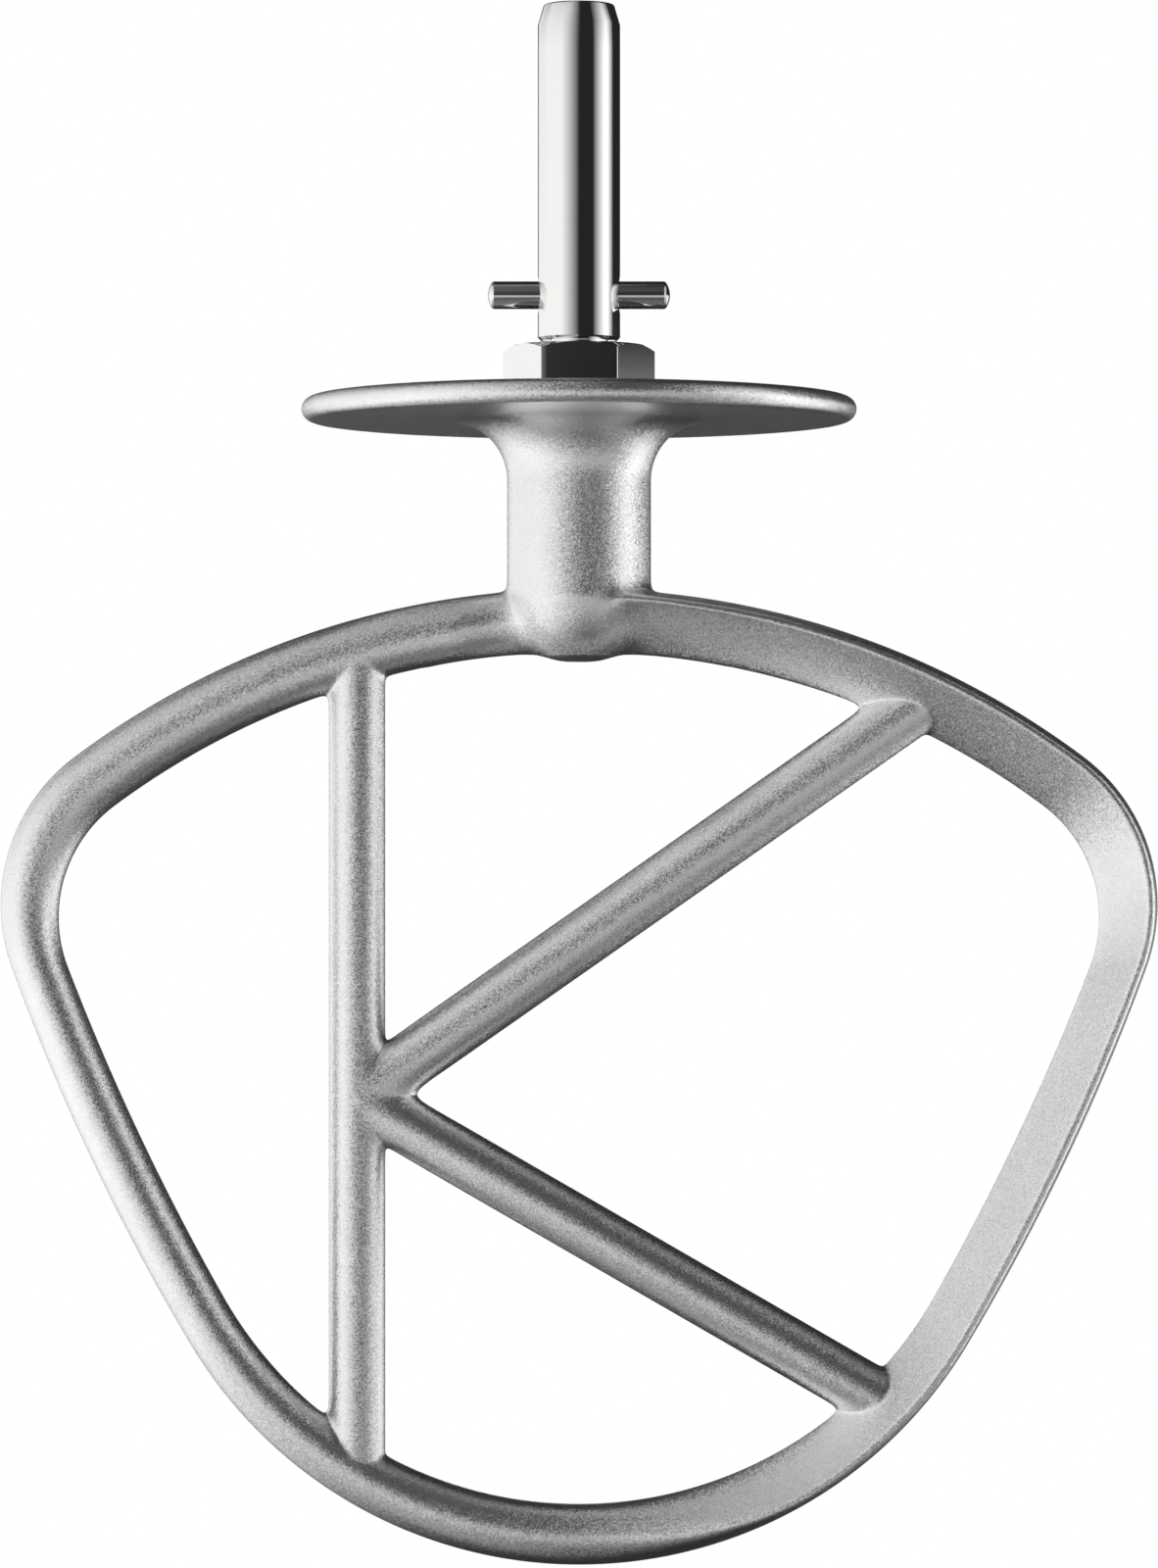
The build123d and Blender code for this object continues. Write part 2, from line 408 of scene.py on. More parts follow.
@dataclass(frozen=True)
class BlastedCasting(Metal):
    """Bead-blasted cast metal: satin silver with a fine grain of facets."""

    name: str = "blasted_casting"
    shade: tuple[float, float, float] = (0.79, 0.79, 0.785)
    pale: tuple[float, float, float] = (0.87, 0.87, 0.865)
    roughness: tuple[float, float] = (0.35, 0.31)
    grain_scale: float = 4200.0
    cloud_scale: float = 260.0
    facet_scale: float = 8200.0
    facet_tilt: float = 0.26

    def normal(self, web: NodeWeb, height: bpy.types.NodeSocket) -> bpy.types.NodeSocket:
        """Normal tilted a little, each facet left by a bead its own way."""
        place = web.add("ShaderNodeTexCoord").outputs["Object"]
        beads = web.add("ShaderNodeTexVoronoi", {"Scale": self.facet_scale, "Vector": place})
        lean = web.vector("SUBTRACT", beads.outputs["Color"], (0.5, 0.5, 0.5))
        facing = web.add("ShaderNodeNewGeometry").outputs["Normal"]
        return web.vector("NORMALIZE", web.vector("MULTIPLY_ADD", lean, (self.facet_tilt,) * 3, facing))


@dataclass(frozen=True)
class PolishedSteel(Metal):
    """Polished bright steel with faint turning marks round its axis."""

    name: str = "polished_steel"
    shade: tuple[float, float, float] = (0.85, 0.84, 0.83)
    pale: tuple[float, float, float] = (0.87, 0.86, 0.85)
    roughness: tuple[float, float] = (0.04, 0.055)
    grain_scale: float = 900.0
    cloud_scale: float = 180.0
    stretch: tuple[float, float, float] = (0.06, 0.06, 6.0)
    mark_strength: float = 0.012
    mark_depth: float = 0.000002

    def normal(self, web: NodeWeb, height: bpy.types.NodeSocket) -> bpy.types.NodeSocket:
        """Normal of the turning marks."""
        wires = {"Strength": self.mark_strength, "Distance": self.mark_depth, "Height": height}
        return web.add("ShaderNodeBump", wires).outputs["Normal"]


@dataclass(frozen=True)
class SurfaceGrain:
    """Fine grain over soft clouds, shared by the finishes."""

    grain_detail: float = 1.0
    cloud_detail: float = 2.0
    cloud_share: float = 0.3
    dark_end: float = 0.32
    pale_end: float = 0.68

    def group(self) -> bpy.types.NodeTree:
        """Node group on Object coordinates, with a Tone from 0 to 1 and a Height."""
        group = bpy.data.node_groups.new("surface_grain", "ShaderNodeTree")
        sockets = group.interface
        for label in ("Grain Scale", "Cloud Scale"):
            sockets.new_socket(label, in_out="INPUT", socket_type="NodeSocketFloat")
        sockets.new_socket("Stretch", in_out="INPUT", socket_type="NodeSocketVector")
        for label in ("Tone", "Height"):
            sockets.new_socket(label, in_out="OUTPUT", socket_type="NodeSocketFloat")
        web = NodeWeb(group)
        given = web.add("NodeGroupInput").outputs
        place = web.add("ShaderNodeTexCoord").outputs["Object"]
        stretched = web.vector("MULTIPLY", place, given["Stretch"])
        noise = {"Detail": self.grain_detail, "Vector": stretched, "Scale": given["Grain Scale"]}
        grain = web.add("ShaderNodeTexNoise", noise).outputs["Fac"]
        noise = {"Detail": self.cloud_detail, "Vector": place, "Scale": given["Cloud Scale"]}
        clouds = web.add("ShaderNodeTexNoise", noise).outputs["Fac"]
        blend = web.add("ShaderNodeMix", {"Factor": self.cloud_share, "A": grain, "B": clouds})
        ends = {"From Min": self.dark_end, "From Max": self.pale_end, "Value": blend.outputs["Result"]}
        spread = web.add("ShaderNodeMapRange", ends)
        web.add("NodeGroupOutput", {"Tone": spread.outputs["Result"], "Height": grain})
        return group


@dataclass
class Loop:
    """The beater's loop: four tangent arcs a side, round in front on one side, a scraper on the other."""

    top: float = -33.85
    height: float = 112.5
    width: float = 133.4
    crown_radius: float = 97.1
    shoulder_radius: float = 21.3
    side_radius: float = 252.0
    bottom_radius: float = 52.2
    crown_band: float = 7.3
    side_band: float = 6.7
    bottom_band: float = 7.0
    shoulder_tightening: float = 5.3
    side_flattening: float = 32.0
    bottom_tightening: float = 5.1
    round_depth: float = 3.5
    scraper_depth: float = 6.2
    scraper_edge: float = 0.65
    wall_draft: float = 7.0
    inner_edge: float = 0.8
    runout: float = 28.0
    top_runout: float = 5.0
    hub_flare: float = 0.26
    flare_span: tuple[float, float] = (2.5, 24.0)
    grading: Grading = Grading(fine=0.32, coarse=1.0, reach=5.0)
    curve_steps: tuple[int, int, int] = (10, 10, 12)
    round_breaks: tuple[float, ...] = (0.0, 60.0, 100.0, 180.0)

    def outline(self, share: float) -> list[Arc]:
        """Right half of the outline at a share of the band, top to bottom.

        Args:
            share: 0 at the inner edge, 1 at the outer edge.

        Returns:
            Arcs as (centre x, centre z, radius, start, end).
        """
        inset = 1 - share
        half_width = self.width / 2 - self.side_band * inset
        crown = self.crown_radius - self.crown_band * inset
        shoulder = self.shoulder_radius - self.shoulder_tightening * inset
        side = self.side_radius + self.side_flattening * inset
        low = self.bottom_radius - self.bottom_tightening * inset
        crown_z = self.top - self.crown_band * inset - crown
        low_z = self.top - self.height + self.bottom_band * inset + low
        turn_x = half_width - shoulder
        turn_z = crown_z + math.sqrt((crown - shoulder) ** 2 - turn_x**2)
        reach_turn = side - shoulder
        reach_low = side - low
        apart = math.hypot(turn_x, turn_z - low_z)
        along = (reach_turn**2 - reach_low**2 + apart**2) / (2 * apart)
        aside = math.sqrt(reach_turn**2 - along**2)
        step_x = -turn_x / apart
        step_z = (low_z - turn_z) / apart
        side_x = turn_x + along * step_x + aside * step_z
        side_z = turn_z + along * step_z - aside * step_x
        at_shoulder = math.atan2(turn_z - crown_z, turn_x)
        at_side = math.atan2(turn_z - side_z, turn_x - side_x)
        at_bottom = math.atan2(low_z - side_z, -side_x)
        return [
            (0.0, crown_z, crown, math.pi / 2, at_shoulder),
            (turn_x, turn_z, shoulder, at_shoulder, at_side),
            (side_x, side_z, side, at_side, at_bottom),
            (0.0, low_z, low, at_bottom, -math.pi / 2),
        ]

    @staticmethod
    def arc_point(arc: Arc, share: float) -> tuple[float, float]:
        """Point at a share of an arc's way, as (x, z)."""
        centre_x, centre_z, radius, start, end = arc
        angle = start + (end - start) * share
        return centre_x + radius * math.cos(angle), centre_z + radius * math.sin(angle)

    def seat_line(self, share: float, steps: int = 160) -> np.ndarray:
        """Closed line inside the band, at a share of it, as (x, z) points."""
        shares = np.linspace(0, 1, steps, endpoint=False)
        right = [self.arc_point(arc, s) for arc in self.outline(share) for s in shares]
        left = [(-x, z) for x, z in reversed(right[1:])]
        return np.array(right + left)

    def round_curves(self, band: float) -> np.ndarray:
        """Bezier curves of the round face, outer edge to inner edge, as (across, out)."""
        curves = []
        half = band / 2
        for first, last in zip(self.round_breaks, self.round_breaks[1:]):
            start, end = math.radians(first), math.radians(last)
            reach = 4 / 3 * math.tan((end - start) / 4)
            begin = np.array([half * (1 - math.cos(start)), self.round_depth * math.sin(start)])
            finish = np.array([half * (1 - math.cos(end)), self.round_depth * math.sin(end)])
            leave = reach * np.array([half * math.sin(start), self.round_depth * math.cos(start)])
            arrive = reach * np.array([half * math.sin(end), self.round_depth * math.cos(end)])
            curves.append([begin, begin + leave, finish - arrive, finish])
        return np.array(curves)

    def scraper_curves(self, band: float) -> np.ndarray:
        """Bezier curves of the scraper face: its wall, its rounded edge and its slope."""
        turns = [math.radians(b - a) for a, b in zip(self.round_breaks, self.round_breaks[1:])]
        handles = [4 / 3 * math.tan(turn / 4) for turn in turns]
        draft = math.radians(self.wall_draft)
        edge = self.scraper_edge
        edge_out = self.scraper_depth - edge
        edge_in = (edge + edge_out * math.sin(draft)) / math.cos(draft)
        fall = self.inner_edge - edge_out
        lean = math.atan2(fall, band - edge_in) + math.acos(edge / math.hypot(band - edge_in, fall))
        rounding = 4 / 3 * math.tan((math.pi - draft - lean) / 4) * edge
        wall_end = np.array([edge_in - edge * math.cos(draft), edge_out + edge * math.sin(draft)])
        slope_start = np.array([edge_in + edge * math.cos(lean), edge_out + edge * math.sin(lean)])
        wall_way = rounding * np.array([math.sin(draft), math.cos(draft)])
        slope_way = rounding * np.array([math.sin(lean), -math.cos(lean)])
        foot = np.array([0.0, 0.0])
        rise = np.array([0.0, edge_out / 3])
        wall = [foot, rise, wall_end - wall_way * handles[0] / handles[1], wall_end]
        crest = [wall_end, wall_end + wall_way, slope_start - slope_way, slope_start]
        slope_leave = slope_start + slope_way * handles[2] / handles[1]
        slope = [slope_start, slope_leave, np.array([band, self.inner_edge]), np.array([band, 0.0])]
        return np.array([wall, crest, slope])

    def face_points(self, band: float, scraper_share: float) -> np.ndarray:
        """Points over one face, outer edge to inner edge, blended from round (0) to scraper (1)."""
        plain = self.round_curves(band)
        curves = plain + (self.scraper_curves(band) - plain) * scraper_share
        points = []
        for curve, steps in zip(curves, self.curve_steps):
            way = (np.arange(steps) / steps)[:, None]
            back = 1 - way
            points.append(
                back**3 * curve[0]
                + 3 * back**2 * way * curve[1]
                + 3 * back * way**2 * curve[2]
                + way**3 * curve[3]
            )
        return np.vstack([*points, curves[-1][-1:]])

    def stations(self, joints: list[tuple[float, float]]) -> list[tuple[int, int, float, float]]:
        """Places along the loop from its top, inside the hub, once round.

        Args:
            joints: Points as (x, z) where the hub and the bars meet the loop.

        Returns:
            Places as (hand, arc, share of the arc, way from round to scraper face).
        """
        outer = self.outline(1)
        ends = np.cumsum([0.0] + [radius * (start - end) for _, _, radius, start, end in outer])
        sides = {}
        for hand in (1, -1):
            marks = [self.nearest_place(outer, ends, hand * x, z) for x, z in joints if hand * x > 0]
            side = []
            for along in self.grading.places(0.0, ends[-1], marks):
                arc = min(int(np.searchsorted(ends, along, side="right")) - 1, len(outer) - 1)
                share = (along - ends[arc]) / (ends[arc + 1] - ends[arc])
                way = min((ends[-1] - along) / self.runout, along / self.top_runout)
                side.append((hand, arc, share, hand * way))
            sides[hand] = side
        return sides[1] + sides[-1][-2:0:-1]

    def nearest_place(
        self, outer: list[Arc], ends: np.ndarray, x: float, z: float, steps: int = 200
    ) -> float:
        """Distance along the right half of the outline to the place nearest a point."""
        best = (math.inf, 0.0)
        for arc, start, end in zip(outer, ends, ends[1:]):
            for share in np.linspace(0, 1, steps):
                arc_x, arc_z = self.arc_point(arc, share)
                best = min(best, (math.hypot(arc_x - x, arc_z - z), start + (end - start) * share))
        return best[1]

    def rings(self, joints: list[tuple[float, float]]) -> np.ndarray:
        """Section rings from the top, down the right side, and up the left side.

        Args:
            joints: Points as (x, z) where the hub and the bars meet the loop.

        Returns:
            Points in millimetres, as stations by points round the section by three.
        """
        outer, inner = self.outline(1), self.outline(0)
        rings = []
        for hand, arc, share, way in self.stations(joints):
            outer_x, outer_z = self.arc_point(outer[arc], share)
            inner_x, inner_z = self.arc_point(inner[arc], share)
            band = math.hypot(inner_x - outer_x, inner_z - outer_z)
            across = np.array([hand * (inner_x - outer_x), 0.0, inner_z - outer_z]) / band
            start = np.array([hand * outer_x, 0.0, outer_z])
            near, far = self.flare_span
            at_top = outer_z > self.top - self.crown_band
            flare = self.hub_flare * ease((far - outer_x) / (far - near)) * at_top
            front = self.face_points(band, ease(way)) * (1.0, 1 + flare * ease(way))
            back = self.face_points(band, ease(-way))[-2:0:-1] * (1.0, 1 + flare * ease(-way))
            ring = [start + a * across + o * FRONT for a, o in front]
            ring += [start + a * across - o * FRONT for a, o in back]
            rings.append(ring)
        return np.array(rings)


@dataclass
class Rod:
    """One round bar of the casting, from the node to the seat line inside the loop, or both ways from it."""

    node: np.ndarray
    angle: float
    radius: float
    node_radius: float
    seat: np.ndarray
    both_ways: bool = False
    sides: int = 72
    swell: float = 14.0
    node_closing: float = 0.5
    grading: Grading = Grading(fine=0.3, coarse=2.5, reach=7.0)

    @property
    def way(self) -> np.ndarray:
        """Direction of the rod's axis."""
        angle = math.radians(self.angle)
        return np.array([math.cos(angle), 0.0, math.sin(angle)])

    def seat_distance(self, offset: np.ndarray, hand: int) -> float:
        """Length of a line along the rod, at an offset from its axis, up to the seat line."""
        origin = (self.node + offset)[[0, 2]]
        heading = hand * self.way[[0, 2]]
        first = self.seat - origin
        edge = np.roll(self.seat, -1, axis=0) - self.seat
        cross = heading[0] * edge[:, 1] - heading[1] * edge[:, 0]
        along = (first[:, 0] * edge[:, 1] - first[:, 1] * edge[:, 0]) / cross
        share = (first[:, 0] * heading[1] - first[:, 1] * heading[0]) / cross
        hits = along[(share >= 0) & (share < 1) & (along > 0)]
        return float(hits.min())

    def span(self, offset: np.ndarray) -> tuple[float, float]:
        """Where a line along the rod starts and ends, as distances from the node."""
        first = -self.seat_distance(offset, -1) if self.both_ways else 0.0
        return first, self.seat_distance(offset, 1)

    def feet(self) -> list[tuple[float, float]]:
        """Points as (x, z) where the rod's axis ends in the loop."""
        first, last = self.span(np.zeros(3))
        ends = [self.node + last * self.way]
        if self.both_ways:
            ends.append(self.node + first * self.way)
        return [(end[0], end[2]) for end in ends]

    def radius_at(self, along: np.ndarray) -> np.ndarray:
        """Radius at distances from the node, from which it swells to the full size."""
        return self.node_radius + (self.radius - self.node_radius) * ease(np.abs(along) / self.swell)

    def shell(self) -> Shell:
        """The rod as a closed shell with curved ends in the loop."""
        angles = np.arange(self.sides) * (2 * math.pi / self.sides)
        aside = np.cross(FRONT, self.way)
        radial = np.cos(angles)[:, None] * aside + np.sin(angles)[:, None] * FRONT
        spans = np.array([self.span(out * self.radius) for out in radial])
        first, last = self.span(np.zeros(3))
        places = self.grading.places(first, last, [first, 0.0, last])
        rings = []
        for share in (places - first) / (last - first):
            along = spans[:, 0] + (spans[:, 1] - spans[:, 0]) * share
            rings.append(self.node + along[:, None] * self.way + self.radius_at(along)[:, None] * radial)
        return tube_shell(np.array(rings))

    def field(self, points: np.ndarray) -> tuple[np.ndarray, np.ndarray]:
        """Distances of points from the rod's surface, and the directions away from it."""
        along = (points - self.node) @ self.way
        out = points - self.node - along[:, None] * self.way
        from_axis = np.linalg.norm(out, axis=1)
        first, last = self.span(np.zeros(3))
        past_end = np.maximum(along - last, first - along)
        if not self.both_ways:
            past_end = along - last
        distance = np.maximum(from_axis - self.radius_at(along), past_end)
        distance += self.node_closing * np.minimum(along - first, 0.0) ** 2 * (not self.both_ways)
        return distance, out / np.maximum(from_axis, TINY)[:, None]


@dataclass
class MeshField:
    """Distances from a meshed surface."""

    tree: BVHTree
    touch: float = 0.02

    def field(self, points: np.ndarray) -> tuple[np.ndarray, np.ndarray]:
        """Distances of points from the surface, and the directions away from it."""
        distances = np.empty(len(points))
        directions = np.empty((len(points), 3))
        for row, point in enumerate(points):
            place, normal, _, gap = self.tree.find_nearest(Vector(point))
            apart = point - np.array(place)
            side = 1.0 if apart @ np.array(normal) >= 0 else -1.0
            distances[row] = side * gap
            directions[row] = np.array(normal) if gap < self.touch else side * apart / gap
        return distances, directions


@dataclass
class HubField:
    """Distances from the hub's straight wall and rounded nose."""

    radius: float
    nose_radius: float
    nose_z: float

    def field(self, points: np.ndarray) -> tuple[np.ndarray, np.ndarray]:
        """Distances of points from the hub's surface, and the directions away from it."""
        from_axis = np.linalg.norm(points[:, :2], axis=1)
        heading = points[:, :2] / np.maximum(from_axis, TINY)[:, None]
        out = np.maximum(from_axis - (self.radius - self.nose_radius), 0.0)
        down = np.minimum(points[:, 2] - (self.nose_z + self.nose_radius), 0.0)
        reach = np.maximum(np.hypot(out, down), TINY)
        directions = np.column_stack([heading * (out / reach)[:, None], down / reach])
        return reach - self.nose_radius, directions


@dataclass
class CastBlend:
    """Runs the casting's surfaces into each other, as the fillets of its mould do.

    Each point near a joint moves out until its softened distance from all the surfaces is nothing. The
    softness grows with the angle between two surfaces, so that a joint gets about one fillet radius.
    """

    fields: list[Rod | MeshField | HubField]
    rounds: int = 6
    softness: float = 1 / 2.4
    least_lean: float = 0.08
    skin: float = 0.05
    reach: float = 11.0
    least_slope: float = 0.12
    faint: float = 60.0

    def settle(self, points: np.ndarray, radii: np.ndarray) -> np.ndarray:
        """Moves the points near the joints.

        Args:
            points: Points of the joined casting, in millimetres.
            radii: Fillet radius wanted at each point.

        Returns:
            The moved points.
        """
        distances = np.sort(np.stack([each.field(points)[0] for each in self.fields]), axis=0)
        near = np.flatnonzero((np.abs(distances[0]) < self.skin) & (distances[1] < self.reach))
        moved = points.copy()
        spot = points[near]
        for _ in range(self.rounds):
            gap, slope = self.softened(spot, radii[near])
            steep = np.maximum(np.sum(slope * slope, axis=1), self.least_slope)
            spot = spot - (gap / steep)[:, None] * slope
        moved[near] = spot
        return moved

    def softened(self, points: np.ndarray, radii: np.ndarray) -> tuple[np.ndarray, np.ndarray]:
        """Softened distances from all the surfaces, and their slopes."""
        found = [each.field(points) for each in self.fields]
        distances = np.stack([distance for distance, _ in found])
        directions = np.stack([direction for _, direction in found])
        own = distances.argmin(axis=0)
        rows = np.arange(len(points))
        nearest, outward = distances[own, rows], directions[own, rows]
        gap = nearest.copy()
        slope = outward.copy()
        for number in range(len(self.fields)):
            lean = np.sum(directions[number] * outward, axis=1)
            soft = np.maximum(radii * self.softness * (1 - lean + self.least_lean), 1e-6)
            pull = np.exp(-np.minimum((distances[number] - nearest) / soft, self.faint))
            pull[own == number] = 0.0
            gap -= soft * np.log1p(pull)
            slope += (pull / (1 + pull))[:, None] * (directions[number] - outward)
        return gap, slope


def relax(
    piece: bpy.types.Object,
    points: np.ndarray,
    share: np.ndarray,
    rounds: int,
    step: float = 0.5,
    least_edge: float = 0.02,
) -> np.ndarray:
    """Evens out a surface by moving points towards the middle of their neighbours.

    Args:
        piece: Mesh object whose edges are used.
        points: Its points, in millimetres.
        share: How much each point takes part, from 0 to 1.
        rounds: Number of steps.
        step: Part of the way that a point goes in one step.
        least_edge: Length below which an edge pulls no harder.

    Returns:
        The moved points.
    """
    edges = np.array([edge.vertices for edge in piece.data.edges])
    edges = edges[(share[edges] > 0).any(axis=1)]
    first, second = np.concatenate([edges, edges[:, ::-1]]).T
    for _ in range(rounds):
        apart = points[second] - points[first]
        weight = 1 / np.maximum(np.linalg.norm(apart, axis=1), least_edge)
        pull = np.zeros_like(points)
        np.add.at(pull, first, apart * weight[:, None])
        total = np.zeros(len(points))
        np.add.at(total, first, weight)
        points = points + step * share[:, None] * pull / np.maximum(total, TINY)[:, None]
    return points


@dataclass
class BeaterCasting:
    """The casting: loop, bars, hub and splash disc in one piece."""

    loop: Loop = field(default_factory=Loop)
    bar_radius: float = 3.25
    brace_radius: float = 3.3
    node_radius: float = 3.24
    upright_x: float = -25.6
    node_z: float = -92.45
    upper_angle: float = 35.0
    lower_angle: float = -30.0
    bar_seat: float = 0.62
    disc_radius: float = 32.0
    disc_top: float = -11.85
    disc_bottom: float = -14.55
    hub_radius: float = 8.3
    flare_radius: float = 6.8
    nose_z: float = -42.25
    nose_radius: float = 7.2
    bore_radius: float = 4.1
    bore_depth: float = 24.0
    bore_tip_angle: float = 118.0
    bore_chamfer: float = 0.5
    bar_fillet: float = 0.7
    node_fillet: float = 2.4
    corner_fillet: float = 0.4
    crotch_fillet: float = 1.1
    crotch_height: float = 1.6
    node_reach: float = 16.0
    hub_fillet: float = 0.9
    nose_fillet: float = 3.8
    nose_change: tuple[float, float] = (-38.0, -42.0)
    crest_fillet: float = 1.4
    scraper_fillet: float = 4.2
    scraper_change: tuple[float, float] = (0.6, 4.0)
    scraper_side: float = 30.0
    hub_reach: float = 18.0
    relax_rounds: int = 130
    relax_span: tuple[float, float] = (10.0, 15.0)
    relax_onset: tuple[float, float] = (0.9, 3.4)
    relax_foot: float = 3.0
    relax_middle: tuple[float, float] = (0.6, 2.1)
    bore_margin: float = 0.2
    nose_margin: float = 4.0
    hub_segments: int = 168
    nose_steps: int = 34
    wall_steps: int = 36
    flare_steps: int = 24
    rim_steps: int = 14
    disc_steps: int = 6
    merge: float = 0.00004
    crease: float = 60.0

    def hub_profile(self) -> list[tuple[float, float]]:
        """Profile of the hub and disc, from the nose up."""
        rim = (self.disc_top - self.disc_bottom) / 2
        rim_centre = (self.disc_radius - rim, self.disc_bottom + rim)
        flare_centre = (self.hub_radius + self.flare_radius, self.disc_bottom - self.flare_radius)
        nose_centre = (self.hub_radius - self.nose_radius, self.nose_z + self.nose_radius)
        nose = arc_profile(nose_centre, self.nose_radius, -90, 0, self.nose_steps)
        flare = arc_profile(flare_centre, self.flare_radius, 180, 90, self.flare_steps)
        edge = arc_profile(rim_centre, rim, -90, 90, self.rim_steps)
        return [
            (0.0, self.nose_z),
            *nose,
            *line_profile(nose[-1], flare[0], self.wall_steps),
            *flare,
            *line_profile(flare[-1], edge[0], self.disc_steps),
            *edge,
            *line_profile(edge[-1], (0.0, self.disc_top), self.disc_steps),
            (0.0, self.disc_top),
        ]

    def bore_profile(self) -> list[tuple[float, float]]:
        """Profile of the drilled blind bore, from its tip to above the disc."""
        bore_floor = self.disc_top - self.bore_depth
        tip_drop = self.bore_radius / math.tan(math.radians(self.bore_tip_angle / 2))
        return [
            (0.0, bore_floor - tip_drop),
            (self.bore_radius, bore_floor),
            (self.bore_radius, self.disc_top - self.bore_chamfer),
            (self.bore_radius + 2 * self.bore_chamfer, self.disc_top + self.bore_chamfer),
            (0.0, self.disc_top + self.bore_chamfer),
        ]

    def rods(self) -> dict[str, Rod]:
        """The upright and the two braces."""
        node = np.array([self.upright_x, 0.0, self.node_z])
        seat = self.loop.seat_line(self.bar_seat)
        return {
            "upright": Rod(node, 90.0, self.bar_radius, self.bar_radius, seat, both_ways=True),
            "upper_brace": Rod(node, self.upper_angle, self.brace_radius, self.node_radius, seat),
            "lower_brace": Rod(node, self.lower_angle, self.brace_radius, self.node_radius, seat),
        }

    def fillet_radii(self, points: np.ndarray) -> np.ndarray:
        """Fillet radius wanted at each point, by the joint it is near.

        The fillets are small at the loop and at the outline, and larger where the hub's nose runs into a
        scraper face and where the bars lie against each other.
        """
        x, y, z = points.T
        from_node = np.hypot(x - self.upright_x, z - self.node_z)
        high, low = self.nose_change
        at_nose = self.hub_fillet + (self.nose_fillet - self.hub_fillet) * ease((z - high) / (low - high))
        high, low = self.scraper_change
        below = self.loop.top - x**2 / (2 * self.loop.crown_radius) - z
        deep = ease((below - high) / (low - high))
        at_scraper = self.crest_fillet + (self.scraper_fillet - self.crest_fillet) * deep
        at_hub = at_nose + (at_scraper - at_nose) * ease(-x * y / self.scraper_side)
        inward = ease(np.abs(y) / self.bar_radius - 0.1)
        braced = ease((x - self.upright_x) / self.bar_radius + 0.5)
        between = ease(2 - np.abs(z - self.node_z) / self.crotch_height)
        corner = self.corner_fillet + (self.crotch_fillet - self.corner_fillet) * between
        at_node = braced * (corner + (self.node_fillet - corner) * inward)
        at_bars = np.where(from_node < self.node_reach, at_node, self.bar_fillet)
        by_hub = (np.hypot(x, y) < self.hub_reach) & (z > self.nose_z - self.nose_margin)
        return np.where(by_hub, at_hub, at_bars)

    def relaxing(self, points: np.ndarray) -> np.ndarray:
        """How much each point is evened out: the nose and the faces beside it, below the loop's edge."""
        x, y, z = points.T
        near, far = self.relax_span
        below = self.loop.top - x**2 / (2 * self.loop.crown_radius) - z
        from_axis = np.hypot(x, y)
        close = ease((far - from_axis) / (far - near)) * (from_axis > self.bore_radius + self.bore_margin)
        near, far = self.relax_middle
        beside = ease((z - self.nose_z) / self.relax_foot + 2) * ease((np.abs(y) - near) / (far - near))
        start, end = self.relax_onset
        return close * beside * ease((below - start) / (end - start))

    def build(self) -> bpy.types.Object:
        """Builds the casting as one closed mesh.

        Returns:
            The casting's object.
        """
        rods = self.rods()
        joints = [foot for rod in rods.values() for foot in rod.feet()]
        joints += [(self.hub_radius, self.loop.top), (-self.hub_radius, self.loop.top)]
        loop = ring_shell(self.loop.rings(joints))
        hub = turned_shell(self.hub_profile(), TurnAxis.ALONG_Z, self.hub_segments)
        casting = hub.to_object("beater_cast_body")
        combine(casting, loop.to_object("loop"), Combine.UNION)
        for name, rod in rods.items():
            combine(casting, rod.shell().to_object(name), Combine.UNION)
        bore = turned_shell(self.bore_profile(), TurnAxis.ALONG_Z, self.hub_segments)
        combine(casting, bore.to_object("bore"), Combine.CUT)
        with editing(casting.data) as work:
            bmesh.ops.remove_doubles(work, verts=work.verts, dist=self.merge)
        points = np.array([vertex.co for vertex in casting.data.vertices]) / MM
        nose = HubField(self.hub_radius, self.nose_radius, self.nose_z)
        blend = CastBlend([MeshField(loop.tree()), nose, *rods.values()])
        moved = blend.settle(points, self.fillet_radii(points))
        moved = relax(casting, moved, self.relaxing(moved), self.relax_rounds) * MM
        casting.data.vertices.foreach_set("co", moved.ravel())
        casting.data.update()
        shade_smooth(casting, self.crease)
        return casting

    def dress(self, piece: bpy.types.Object, finish: bpy.types.Material) -> None:
        """Gives the casting its finish and its place on the frame."""
        coat(piece, finish)
        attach(piece, "beater")
        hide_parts("beater_casting")


